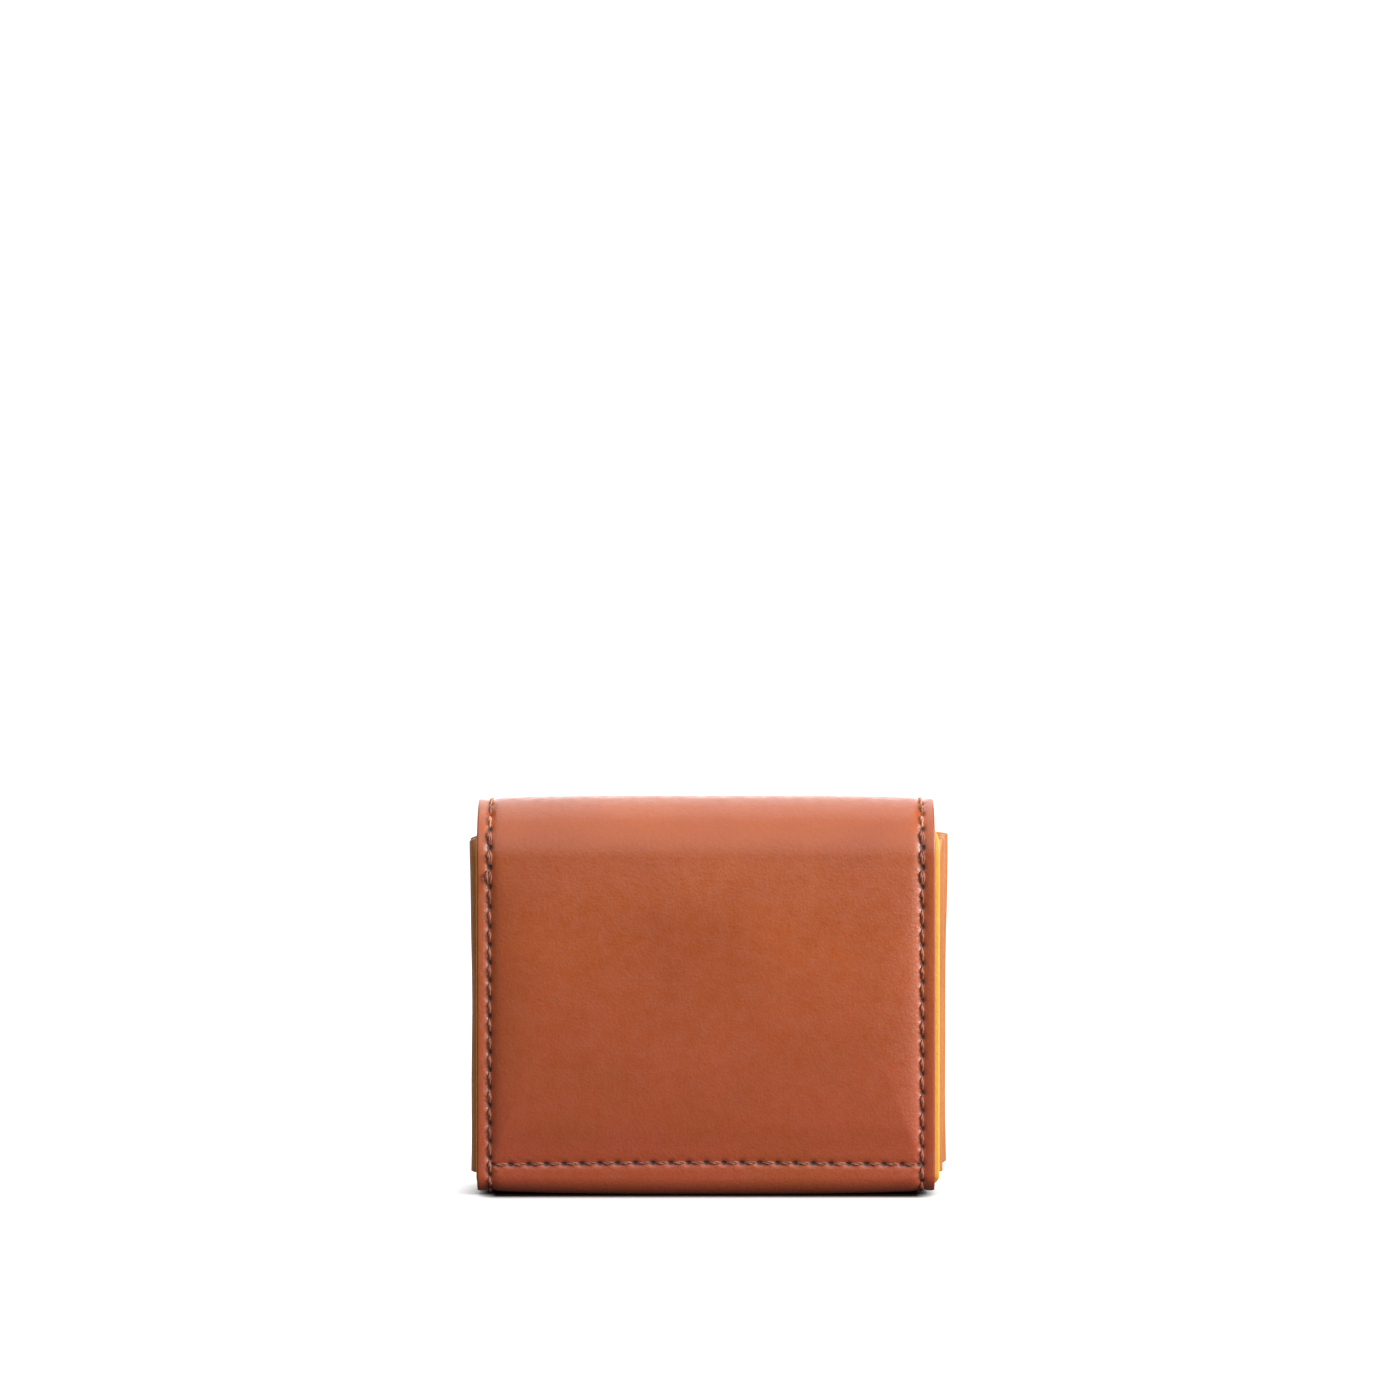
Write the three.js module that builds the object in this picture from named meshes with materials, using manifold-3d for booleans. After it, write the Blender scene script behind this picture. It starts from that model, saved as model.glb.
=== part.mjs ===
// Flap card holder in smooth tan leather with a golden lining. One long cover folds from the
// front panel under the base, up the back, over a rounded top and down into the flap. Pleated
// gussets close the sides, card pockets and a divider sit inside, and a press stud holds the flap.
// Millimetres, +Z up. The plain back panel faces -Y, the flap hangs on the +Y side, and the
// origin is on the ground under the middle of the holder.
import * as THREE from 'three';
import { mergeVertices } from 'three/addons/utils/BufferGeometryUtils.js';
import Module from 'manifold-3d';

const wasm = await Module();
wasm.setup();

// Overall size of the closed holder
const WIDTH = 100;
const HEIGHT = 86;
const DEPTH = 24;
const REAR_Y = -12.5;

// Leather, board and lining, measured inwards from the cover's outer face
const COVER_THICK = 1.3;
const BOARD_THICK = 0.6;
const LINING_THICK = 0.7;
const POCKET_THICK = 0.9;
const GLUE = 0.05;
const LINING_OVERHANG = 0.8;
const BOARD_HALF = 43.5;

// Folds of the cover
const ROLL_RADIUS = DEPTH / 2;
const BACK_FOLD_RADIUS = 4;
const FRONT_FOLD_RADIUS = 3;
const SPLIT_GAP = 0.3;
const ROLL_SPLITS = [150, 90, 30];
const FRONT_SPLIT = 315;
const FOLD_STEPS = 8;

// Front panel and flap
const STUD_ROOM = 2.0;
const FRONT_TOP = 78;
const FLAP_END = 28;
const FLAP_CORNER = 10;
const CORNER_STEPS = 8;

// Seams: a groove in the cover holds one strand of thread
const SEAM_MARGIN = 2.8;
const GROOVE_HALF = 0.5;
const GROOVE_DEEP = 0.5;
const GROOVE_RUN_ON = 0.4;
const THREAD_HALF = 0.38;
const THREAD_OUT = 0.08;
const THREAD_IN = 0.42;
const POCKET_SEAM_Z = 6.7;

// Inside: pleated gussets, card pockets and divider
const GUSSET_THICK = 0.9;
const GUSSET_BOTTOM = 4.3;
const GUSSET_TOP_REAR = 76;
const GUSSET_TOP_FRONT = 78.4;
const FLANGE_IN = 44.4;
const FLANGE_OUT = 49.2;
const PLEAT_OUT_REAR = 51.5;
const PLEAT_OUT_FRONT = 52.2;
const PLEAT_IN = 46.7;
const POCKET_HALF = 43.6;
const POCKET_BOTTOM = 4.2;
const POCKET_TOPS = [60, 48];
const DIVIDER_HALF = 45.4;
const DIVIDER_Y = -1.2;
const DIVIDER_THICK = 0.85;
const DIVIDER_BOTTOM = 3;
const DIVIDER_TOP = 70;

// Press stud
const STUD_Z = FLAP_END + 11;
const SHANK_RADIUS = 1.3;
const HOLE_RADIUS = 1.6;
const CAP_RADIUS = 6;
const CAP_PROUD = 1;
const SOCKET_RADIUS = 5.2;
const SOCKET_HOLLOW = 2.5;
const STUD_RADIUS = 4.6;
const STUD_HEAD = 1.8;
const ROUND_SIDES = 40;

// Places that follow from the sizes above
const HALF = WIDTH / 2;
const LINING_HALF = HALF + LINING_OVERHANG;
const SEAM_X = HALF - SEAM_MARGIN;
const ROLL_Y = REAR_Y + ROLL_RADIUS;
const ROLL_Z = HEIGHT - ROLL_RADIUS;
const FLAP_Y = REAR_Y + DEPTH;
const BOARD_AT = COVER_THICK + GLUE;
const LINING_AT = BOARD_AT + BOARD_THICK + GLUE;
const STACK = LINING_AT + LINING_THICK;
const FRONT_Y = FLAP_Y - STACK - STUD_ROOM;
const REAR_INSIDE = REAR_Y + STACK;
const FRONT_INSIDE = FRONT_Y - STACK;

const ROLL_CENTRE = new THREE.Vector2(ROLL_Y, ROLL_Z);
const BACK_FOLD_CENTRE = new THREE.Vector2(REAR_Y + BACK_FOLD_RADIUS, BACK_FOLD_RADIUS);
const FRONT_FOLD_CENTRE = new THREE.Vector2(FRONT_Y - FRONT_FOLD_RADIUS, FRONT_FOLD_RADIUS);

const finishes = {
  cover: { color: 0xa8502d, roughness: 0.45, metalness: 0 },
  gusset: { color: 0xb4622e, roughness: 0.55, metalness: 0 },
  lining: { color: 0xe9a93a, roughness: 0.6, metalness: 0 },
  board: { color: 0x8d7a62, roughness: 0.9, metalness: 0 },
  thread: { color: 0x7a4a44, roughness: 0.7, metalness: 0 },
  brass: { color: 0xb8954f, roughness: 0.3, metalness: 1 },
};

// ---------------------------------------------------------------- joining and cutting

function solid(geometry) {
  const bare = geometry.clone();
  bare.deleteAttribute('normal');
  bare.deleteAttribute('uv');
  const merged = mergeVertices(bare, 1e-4);
  const vertProperties = new Float32Array(merged.attributes.position.array);
  const triVerts = new Uint32Array(merged.index.array);
  return new wasm.Manifold(new wasm.Mesh({ numProp: 3, vertProperties, triVerts }));
}

function geometryOf(body) {
  const mesh = body.getMesh();
  const geometry = new THREE.BufferGeometry();
  geometry.setAttribute('position', new THREE.BufferAttribute(mesh.vertProperties, 3));
  geometry.setIndex(new THREE.BufferAttribute(mesh.triVerts, 1));
  geometry.computeVertexNormals();
  return geometry;
}

function join(first, ...others) {
  let body = solid(first);
  for (const other of others) {
    body = body.add(solid(other));
  }
  return geometryOf(body);
}

function cut(first, ...tools) {
  let body = solid(first);
  for (const tool of tools) {
    body = body.subtract(solid(tool));
  }
  return geometryOf(body);
}

// ---------------------------------------------------------------- plain shapes

// A plate: an outline in X and Z, given from its front face at yHigh back to yLow.
function plate(shape, yLow, yHigh) {
  const options = { depth: yHigh - yLow, bevelEnabled: false, curveSegments: CORNER_STEPS };
  const geometry = new THREE.ExtrudeGeometry(shape, options);
  const axes = new THREE.Matrix4().makeBasis(
    new THREE.Vector3(1, 0, 0),
    new THREE.Vector3(0, 0, 1),
    new THREE.Vector3(0, -1, 0),
  );
  geometry.applyMatrix4(axes);
  return geometry.translate(0, yHigh, 0);
}

function block(xLow, xHigh, yLow, yHigh, zLow, zHigh) {
  const geometry = new THREE.BoxGeometry(xHigh - xLow, yHigh - yLow, zHigh - zLow);
  return geometry.translate((xLow + xHigh) / 2, (yLow + yHigh) / 2, (zLow + zHigh) / 2);
}

// A round rod along Y at the height of the press stud.
function rod(radius, yLow, yHigh) {
  const geometry = new THREE.CylinderGeometry(radius, radius, yHigh - yLow, ROUND_SIDES);
  return geometry.translate(0, (yLow + yHigh) / 2, STUD_Z);
}

// A turned piece on the press stud's axis: profile points are radius and Y.
function turned(profile) {
  const points = profile.map(([radius, y]) => new THREE.Vector2(radius, y));
  return new THREE.LatheGeometry(points, ROUND_SIDES).translate(0, 0, STUD_Z);
}

// ---------------------------------------------------------------- the folded cover

// A line on the cover's outer face in Y and Z: each sample has its place and inward normal.
function bend(centre, radius, from, to) {
  const line = [];
  for (let step = 0; step <= FOLD_STEPS; step += 1) {
    const angle = THREE.MathUtils.degToRad(from + ((to - from) * step) / FOLD_STEPS);
    const inward = new THREE.Vector2(-Math.cos(angle), -Math.sin(angle));
    line.push({ at: centre.clone().addScaledVector(inward, -radius), inward });
  }
  return line;
}

// Half of the gap between two rigid lengths of cover, as an angle of a fold.
function gapAngle(radius) {
  return THREE.MathUtils.radToDeg(SPLIT_GAP / 2 / radius);
}

function rollPart(from, to) {
  return bend(ROLL_CENTRE, ROLL_RADIUS, from, to);
}

function shellLine() {
  const rollStart = ROLL_SPLITS[0] + gapAngle(ROLL_RADIUS);
  const baseEnd = FRONT_SPLIT - gapAngle(FRONT_FOLD_RADIUS);
  return [
    ...rollPart(rollStart, 180),
    ...bend(BACK_FOLD_CENTRE, BACK_FOLD_RADIUS, 180, 270),
    ...bend(FRONT_FOLD_CENTRE, FRONT_FOLD_RADIUS, 270, baseEnd),
  ];
}

function frontLine() {
  const start = FRONT_SPLIT + gapAngle(FRONT_FOLD_RADIUS);
  return [
    ...bend(FRONT_FOLD_CENTRE, FRONT_FOLD_RADIUS, start, 360),
    { at: new THREE.Vector2(FRONT_Y, FRONT_TOP), inward: new THREE.Vector2(-1, 0) },
  ];
}

function rollLine(index) {
  const gap = gapAngle(ROLL_RADIUS);
  return rollPart(ROLL_SPLITS[index] - gap, ROLL_SPLITS[index + 1] + gap);
}

function flapBendLine() {
  return rollPart(ROLL_SPLITS[2] - gapAngle(ROLL_RADIUS), 0);
}

// A layer of the folded stack between two depths under the outer face, from xLow to xHigh.
function layer(line, outer, inner, xLow, xHigh) {
  const outside = line.map(({ at, inward }) => at.clone().addScaledVector(inward, outer));
  const inside = line.map(({ at, inward }) => at.clone().addScaledVector(inward, inner));
  const shape = new THREE.Shape([...outside, ...inside.reverse()]);
  const options = { depth: xHigh - xLow, bevelEnabled: false };
  const geometry = new THREE.ExtrudeGeometry(shape, options);
  const axes = new THREE.Matrix4().makeBasis(
    new THREE.Vector3(0, 1, 0),
    new THREE.Vector3(0, 0, 1),
    new THREE.Vector3(1, 0, 0),
  );
  geometry.applyMatrix4(axes);
  return geometry.translate(xLow, 0, 0);
}

function cover(line) {
  return layer(line, 0, COVER_THICK, -HALF, HALF);
}

function lining(line) {
  return layer(line, LINING_AT, STACK, -LINING_HALF, LINING_HALF);
}

// A sample a little past the end of a line, so that a groove cuts clean through the leather.
function runOn(end, neighbour) {
  const along = new THREE.Vector2(-end.inward.y, end.inward.x);
  const forward = Math.sign(along.dot(end.at.clone().sub(neighbour.at)));
  return { at: end.at.clone().addScaledVector(along, forward * GROOVE_RUN_ON), inward: end.inward };
}

function sideGroove(line, side) {
  const middle = side * SEAM_X;
  const longer = [runOn(line[0], line[1]), ...line, runOn(line.at(-1), line.at(-2))];
  return layer(longer, -GROOVE_DEEP, GROOVE_DEEP, middle - GROOVE_HALF, middle + GROOVE_HALF);
}

function sideThread(line, side) {
  const middle = side * SEAM_X;
  return layer(line, THREAD_OUT, THREAD_IN, middle - THREAD_HALF, middle + THREAD_HALF);
}

// ---------------------------------------------------------------- outlines in X and Z

// A panel that hangs from zTop to zEnd, with rounded corners at its lower end.
function flapOutline(half, zTop, zEnd, corner) {
  const shape = new THREE.Shape();
  shape.moveTo(half, zTop);
  shape.lineTo(-half, zTop);
  shape.lineTo(-half, zEnd + corner);
  shape.absarc(-half + corner, zEnd + corner, corner, Math.PI, Math.PI * 1.5, false);
  shape.absarc(half - corner, zEnd + corner, corner, Math.PI * 1.5, Math.PI * 2, false);
  return shape;
}

// The flap's seam as a band of the given half width, down one side, across and up the other.
function flapBand(yLow, yHigh, bandHalf) {
  const corner = FLAP_CORNER - SEAM_MARGIN;
  const end = FLAP_END + SEAM_MARGIN;
  const wide = flapOutline(SEAM_X + bandHalf, ROLL_Z, end - bandHalf, corner + bandHalf);
  const narrow = flapOutline(SEAM_X - bandHalf, ROLL_Z + 1, end + bandHalf, corner - bandHalf);
  return cut(plate(wide, yLow, yHigh), plate(narrow, yLow - 1, yHigh + 1));
}

// ---------------------------------------------------------------- back, base and roll

function backPocketGroove() {
  const reach = SEAM_X - GROOVE_HALF - 0.3;
  const low = POCKET_SEAM_Z - GROOVE_HALF;
  const high = POCKET_SEAM_Z + GROOVE_HALF;
  return block(-reach, reach, REAR_Y - 1, REAR_Y + GROOVE_DEEP, low, high);
}

function backPocketThread() {
  const reach = SEAM_X - GROOVE_HALF - 0.4;
  const low = POCKET_SEAM_Z - THREAD_HALF;
  const high = POCKET_SEAM_Z + THREAD_HALF;
  return block(-reach, reach, REAR_Y + THREAD_OUT, REAR_Y + THREAD_IN, low, high);
}

function coverBack() {
  const line = shellLine();
  return cut(cover(line), sideGroove(line, -1), sideGroove(line, 1), backPocketGroove());
}

function backBoard() {
  const yLow = REAR_Y + BOARD_AT;
  return block(-BOARD_HALF, BOARD_HALF, yLow, yLow + BOARD_THICK, 10, ROLL_Z - 3);
}

function grooved(line) {
  return cut(cover(line), sideGroove(line, -1), sideGroove(line, 1));
}

// ---------------------------------------------------------------- pockets and divider

function pocketPanel(index) {
  const yLow = REAR_INSIDE + GLUE + index * (POCKET_THICK + GLUE);
  const top = POCKET_TOPS[index];
  return block(-POCKET_HALF, POCKET_HALF, yLow, yLow + POCKET_THICK, POCKET_BOTTOM, top);
}

function dividerPanel(side) {
  const near = DIVIDER_Y + side * GLUE;
  const far = DIVIDER_Y + side * (GLUE + DIVIDER_THICK);
  const yLow = Math.min(near, far);
  const yHigh = Math.max(near, far);
  const panel = block(-DIVIDER_HALF, DIVIDER_HALF, yLow, yHigh, DIVIDER_BOTTOM, DIVIDER_TOP);
  return side < 0 ? cut(panel, dividerSeam(GROOVE_HALF, -1, GROOVE_DEEP)) : panel;
}

// The divider's seam runs along its top edge, on the face towards the back panel.
function dividerSeam(half, outer, inner) {
  const reach = DIVIDER_HALF - SEAM_MARGIN;
  const middle = DIVIDER_TOP - SEAM_MARGIN;
  const face = DIVIDER_Y - GLUE - DIVIDER_THICK;
  return block(-reach - half, reach + half, face + outer, face + inner, middle - half, middle + half);
}

// ---------------------------------------------------------------- gussets

// A strip of constant thickness along a chain of points in X and Y, mitred at its corners.
function ribbon(points, thickness) {
  const normals = points.map((point, index) => {
    const before = points[Math.max(index - 1, 0)];
    const after = points[Math.min(index + 1, points.length - 1)];
    const into = point.clone().sub(before).normalize();
    const out = after.clone().sub(point).normalize();
    const along = into.add(out).normalize();
    const straight = index === 0 || index === points.length - 1;
    const turn = straight ? 1 : along.dot(after.clone().sub(point).normalize());
    return new THREE.Vector2(-along.y, along.x).multiplyScalar(thickness / 2 / turn);
  });
  const left = points.map((point, index) => point.clone().add(normals[index]));
  const right = points.map((point, index) => point.clone().sub(normals[index]));
  return new THREE.Shape([...left, ...right.reverse()]);
}

// The gussets' top edge runs in a straight line from the back panel to the front panel.
function gussetTopAt(y) {
  const share = (y - REAR_INSIDE) / (FRONT_INSIDE - REAR_INSIDE);
  return GUSSET_TOP_REAR + (GUSSET_TOP_FRONT - GUSSET_TOP_REAR) * share;
}

function gusset(points, side) {
  const chain = points.map(([x, y]) => new THREE.Vector2(x * side, y));
  const options = { depth: 1, bevelEnabled: false };
  const geometry = new THREE.ExtrudeGeometry(ribbon(chain, GUSSET_THICK), options);
  const position = geometry.attributes.position;
  for (let index = 0; index < position.count; index += 1) {
    const top = position.getZ(index) > 0.5;
    position.setZ(index, top ? gussetTopAt(position.getY(index)) : GUSSET_BOTTOM);
  }
  return geometry;
}

// Rear pleat: flange on the back lining, out past the cover's edge, in to the divider.
function rearPleat(side) {
  const flangeY = REAR_INSIDE + 0.3 + GUSSET_THICK / 2;
  const endY = DIVIDER_Y - GUSSET_THICK / 2;
  const middleY = (flangeY + endY) / 2;
  const flange = [[FLANGE_IN, flangeY], [FLANGE_OUT, flangeY]];
  const chain = [...flange, [PLEAT_OUT_REAR, middleY], [PLEAT_IN, endY]];
  return gusset(chain, side);
}

// Front pleat: from the divider out past the cover's edge and in to the front lining.
function frontPleat(side) {
  const flangeY = FRONT_INSIDE - GLUE - GUSSET_THICK / 2;
  const startY = DIVIDER_Y + GUSSET_THICK / 2;
  const middleY = (flangeY + startY) / 2;
  const flange = [[FLANGE_OUT, flangeY], [FLANGE_IN, flangeY]];
  const chain = [[PLEAT_IN, startY], [PLEAT_OUT_FRONT, middleY], ...flange];
  return gusset(chain, side);
}

// ---------------------------------------------------------------- front panel

function frontTopBand(half, outer, inner) {
  const reach = SEAM_X + half;
  const middle = FRONT_TOP - SEAM_MARGIN;
  return block(-reach, reach, FRONT_Y - inner, FRONT_Y - outer, middle - half, middle + half);
}

// The front cover's seam grooves stop at the top seam, so the strand turns a square corner.
function frontSeamLine() {
  const line = frontLine();
  line[line.length - 1].at.y = FRONT_TOP - SEAM_MARGIN;
  return line;
}

function coverFront() {
  const line = frontSeamLine();
  return cut(
    cover(frontLine()),
    sideGroove(line, -1),
    sideGroove(line, 1),
    frontTopBand(GROOVE_HALF, -1, GROOVE_DEEP),
    rod(HOLE_RADIUS, FRONT_Y - STACK, FRONT_Y + 1),
  );
}

function frontSeam() {
  const line = frontSeamLine();
  const top = frontTopBand(THREAD_HALF, THREAD_OUT, THREAD_IN);
  return join(top, sideThread(line, -1), sideThread(line, 1));
}

function frontBoard() {
  const yHigh = FRONT_Y - BOARD_AT;
  const yLow = yHigh - BOARD_THICK;
  const panel = block(-BOARD_HALF, BOARD_HALF, yLow, yHigh, 8, FRONT_TOP - 5);
  return cut(panel, rod(STUD_RADIUS, yLow - 1, yHigh + 1));
}

// ---------------------------------------------------------------- flap

function flapPanel(half, outer, inner, corner, grow) {
  const outline = flapOutline(half, ROLL_Z, FLAP_END - grow, corner);
  return plate(outline, FLAP_Y - inner, FLAP_Y - outer);
}

function coverFlap() {
  const line = flapBendLine();
  const whole = join(cover(line), flapPanel(HALF, 0, COVER_THICK, FLAP_CORNER, 0));
  const band = flapBand(FLAP_Y - GROOVE_DEEP, FLAP_Y + 1, GROOVE_HALF);
  const hole = rod(HOLE_RADIUS, FLAP_Y - STACK, FLAP_Y + 1);
  return cut(whole, sideGroove(line, -1), sideGroove(line, 1), band, hole);
}

function flapLining() {
  const panel = flapPanel(LINING_HALF, LINING_AT, STACK, FLAP_CORNER, LINING_OVERHANG);
  const whole = join(lining(flapBendLine()), panel);
  return cut(whole, rod(HOLE_RADIUS, FLAP_Y - STACK - 1, FLAP_Y));
}

function flapBoard() {
  const inner = BOARD_AT + BOARD_THICK;
  const outline = flapOutline(BOARD_HALF, ROLL_Z - 3, FLAP_END + 6, FLAP_CORNER - 6);
  const panel = plate(outline, FLAP_Y - inner, FLAP_Y - BOARD_AT);
  return cut(panel, rod(HOLE_RADIUS, FLAP_Y - STACK, FLAP_Y));
}

function flapSeam() {
  const line = flapBendLine();
  const band = flapBand(FLAP_Y - THREAD_IN, FLAP_Y - THREAD_OUT, THREAD_HALF);
  return join(band, sideThread(line, -1), sideThread(line, 1));
}

// ---------------------------------------------------------------- press stud

function snapCap() {
  const face = FLAP_Y + GLUE;
  const crown = FLAP_Y + CAP_PROUD;
  return turned([
    [0, FLAP_Y - STACK + 0.1],
    [SHANK_RADIUS, FLAP_Y - STACK + 0.1],
    [SHANK_RADIUS, face],
    [CAP_RADIUS, face],
    [CAP_RADIUS, face + 0.25],
    [CAP_RADIUS * 0.8, crown - 0.25],
    [CAP_RADIUS * 0.5, crown - 0.06],
    [0, crown],
  ]);
}

function snapSocket() {
  const back = FLAP_Y - STACK - GLUE;
  const mouth = FRONT_Y + 0.45;
  return turned([
    [0, mouth + 1.15],
    [SOCKET_HOLLOW, mouth + 1.15],
    [SOCKET_HOLLOW, mouth],
    [SOCKET_RADIUS * 0.7, mouth],
    [SOCKET_RADIUS, mouth + 0.6],
    [SOCKET_RADIUS, back],
    [0, back],
  ]);
}

function snapStud() {
  const face = FRONT_Y + GLUE;
  return turned([
    [0, face],
    [STUD_RADIUS, face],
    [STUD_RADIUS, face + 0.2],
    [STUD_HEAD, face + 0.3],
    [STUD_HEAD * 0.8, face + 0.8],
    [STUD_HEAD, face + 1.2],
    [STUD_HEAD * 0.7, face + 1.4],
    [0, face + 1.4],
  ]);
}

function snapPost() {
  const disc = FRONT_Y - BOARD_AT;
  const foot = disc - BOARD_THICK;
  return turned([
    [0, foot],
    [STUD_RADIUS - 0.4, foot],
    [STUD_RADIUS - 0.4, disc],
    [SHANK_RADIUS, disc],
    [SHANK_RADIUS, FRONT_Y],
    [0, FRONT_Y],
  ]);
}

// ---------------------------------------------------------------- the assembly

const holder = new THREE.Group();

function add(name, finish, geometry) {
  const mesh = new THREE.Mesh(geometry, new THREE.MeshStandardMaterial(finishes[finish]));
  mesh.name = name;
  holder.add(mesh);
}

function addBothSides(name, finish, make) {
  add(`${name}_left`, finish, make(-1));
  add(`${name}_right`, finish, make(1));
}

function addRollSegment(place, index) {
  const line = rollLine(index);
  add(`cover_roll_${place}`, 'cover', grooved(line));
  add(`lining_roll_${place}`, 'lining', lining(line));
  addBothSides(`seam_roll_${place}`, 'thread', (side) => sideThread(line, side));
}

add('cover_back', 'cover', coverBack());
add('board_back', 'board', backBoard());
add('lining_back', 'lining', lining(shellLine()));
addBothSides('seam_back', 'thread', (side) => sideThread(shellLine(), side));
add('seam_pockets', 'thread', backPocketThread());
add('pocket_panel_tall', 'lining', pocketPanel(0));
add('pocket_panel_short', 'cover', pocketPanel(1));
addBothSides('gusset_rear_pleat', 'gusset', rearPleat);

addRollSegment('rear', 0);
addRollSegment('front', 1);

add('cover_flap', 'cover', coverFlap());
add('board_flap', 'board', flapBoard());
add('lining_flap', 'lining', flapLining());
add('seam_flap', 'thread', flapSeam());
add('snap_cap', 'brass', snapCap());
add('snap_socket', 'brass', snapSocket());

add('cover_front', 'cover', coverFront());
add('board_front', 'board', frontBoard());
add('lining_front', 'lining', lining(frontLine()));
add('seam_front', 'thread', frontSeam());
add('snap_stud', 'brass', snapStud());
add('snap_post', 'brass', snapPost());
addBothSides('gusset_front_pleat', 'gusset', frontPleat);

add('divider_rear', 'cover', dividerPanel(-1));
add('divider_front', 'lining', dividerPanel(1));
add('seam_divider', 'thread', dividerSeam(THREAD_HALF, THREAD_OUT, THREAD_IN));

export default holder;
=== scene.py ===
# %% [markdown]
# # A flap card holder in tan leather
# The holder is one long strip of smooth tan leather. It starts as the front panel, folds under
# the base, goes up the back, rolls over the top and hangs down as the flap. A golden lining is
# sewn inside it, pleated gussets close the sides, and a press stud holds the flap.
# This lesson dresses the fixed frame: it reads every place and size from the frame, makes each
# piece as a mesh and gives it a procedural finish. The inner panels, the press stud and two of
# the seams are tied to the body that they move with.

# %% Load the frame
import math
import bpy
import numpy as np
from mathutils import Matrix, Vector


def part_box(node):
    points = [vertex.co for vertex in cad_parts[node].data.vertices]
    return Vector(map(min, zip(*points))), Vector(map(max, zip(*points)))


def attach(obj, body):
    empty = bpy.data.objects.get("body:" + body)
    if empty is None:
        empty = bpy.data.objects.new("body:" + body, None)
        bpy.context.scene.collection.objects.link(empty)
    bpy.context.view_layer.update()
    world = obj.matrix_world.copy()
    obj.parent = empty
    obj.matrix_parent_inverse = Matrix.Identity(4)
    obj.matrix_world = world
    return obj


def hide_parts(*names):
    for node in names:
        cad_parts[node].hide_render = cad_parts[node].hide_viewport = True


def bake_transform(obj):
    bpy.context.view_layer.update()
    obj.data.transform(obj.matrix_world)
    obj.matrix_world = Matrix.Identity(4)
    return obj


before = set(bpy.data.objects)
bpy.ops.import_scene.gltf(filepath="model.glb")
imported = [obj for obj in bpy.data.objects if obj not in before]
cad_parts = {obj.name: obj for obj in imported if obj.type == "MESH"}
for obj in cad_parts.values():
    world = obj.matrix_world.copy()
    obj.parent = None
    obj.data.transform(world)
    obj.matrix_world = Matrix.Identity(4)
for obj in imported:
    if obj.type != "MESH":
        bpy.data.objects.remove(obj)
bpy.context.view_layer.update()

mm = 0.001

# %% [markdown]
# ## The camera
# A catalogue view of a small object is taken from far off with a long lens, so that its sides
# stay nearly parallel. The camera could be aimed with a constraint, but a plain place and tilt
# are easier to read: it stands behind the plain back panel, a little above the holder's top.

# %% The camera
camera_height = 131 * mm
camera_distance = 1100 * mm
camera_side = -1.3 * mm
camera_tilt = math.radians(1.18)
lens_length = 129.86


def add_camera():
    data = bpy.data.cameras.new("camera")
    data.sensor_width = 36
    data.lens = lens_length
    camera = bpy.data.objects.new("camera", data)
    back_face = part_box("cover_back")[0].y
    camera.location = (camera_side, back_face - camera_distance, camera_height)
    camera.rotation_euler = (math.pi / 2 - camera_tilt, 0, 0)
    bpy.context.collection.objects.link(camera)
    bpy.context.scene.camera = camera


add_camera()

# %% [markdown]
# ## Sizes from the frame
# The frame's nodes say where the leather's outer face is. Reading them here, in place of typing
# numbers, keeps the dressed model and the frame together if the frame is ever changed.

# %% Sizes from the frame
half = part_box("cover_back")[1].x
rear_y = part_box("cover_back")[0].y
front_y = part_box("cover_front")[1].y
front_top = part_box("cover_front")[1].z
flap_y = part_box("cover_flap")[1].y
flap_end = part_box("cover_flap")[0].z
lining_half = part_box("lining_back")[1].x
roll_radius = (flap_y - rear_y) / 2
roll_y = (flap_y + rear_y) / 2
roll_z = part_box("cover_roll_rear")[1].z - roll_radius
snap_z = (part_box("snap_cap")[0].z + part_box("snap_cap")[1].z) / 2

cover_thick = 1.3 * mm
lining_thick = 0.7 * mm
lining_depth = 2.0 * mm
back_fold = 4 * mm
front_fold = 3 * mm
flap_corner = 10 * mm
seam_margin = 2.8 * mm
seam_x = half - seam_margin
print("half width, mm:", round(half / mm, 2), "roll radius, mm:", round(roll_radius / mm, 2))

# %% [markdown]
# ## The long strip as one line
# All the layers of the cover follow one line in the side view. Measured along that line, the
# folded strip becomes a flat rectangle again, as it was when the leather was cut. So every piece
# is drawn flat, by its place across the strip (x) and along it (s), and then folded.

# %% The cover's line, from the front panel's top edge to the flap's end
FRONT_FOLD = front_top - front_fold
BASE = FRONT_FOLD + front_fold * math.pi / 2
base_length = (front_y - front_fold) - (rear_y + back_fold)
BACK_FOLD = BASE + base_length
BACK = BACK_FOLD + back_fold * math.pi / 2
ROLL = BACK + roll_z - back_fold
FLAP = ROLL + roll_radius * math.pi
END = FLAP + roll_z - flap_end


def straight(start, direction):
    """A straight stretch of the line: at(s) gives Y, Z and the inward normal."""
    def at(s):
        ones = np.ones_like(s)
        y = start[0] + direction[0] * s
        z = start[1] + direction[1] * s
        return y, z, direction[1] * ones, -direction[0] * ones
    return at


def fold(centre, radius, start_angle):
    """A stretch that bends round a centre, with the same at(s)."""
    def at(s):
        angle = start_angle - s / radius
        y = centre[0] + radius * np.cos(angle)
        z = centre[1] + radius * np.sin(angle)
        return y, z, -np.cos(angle), -np.sin(angle)
    return at


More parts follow.
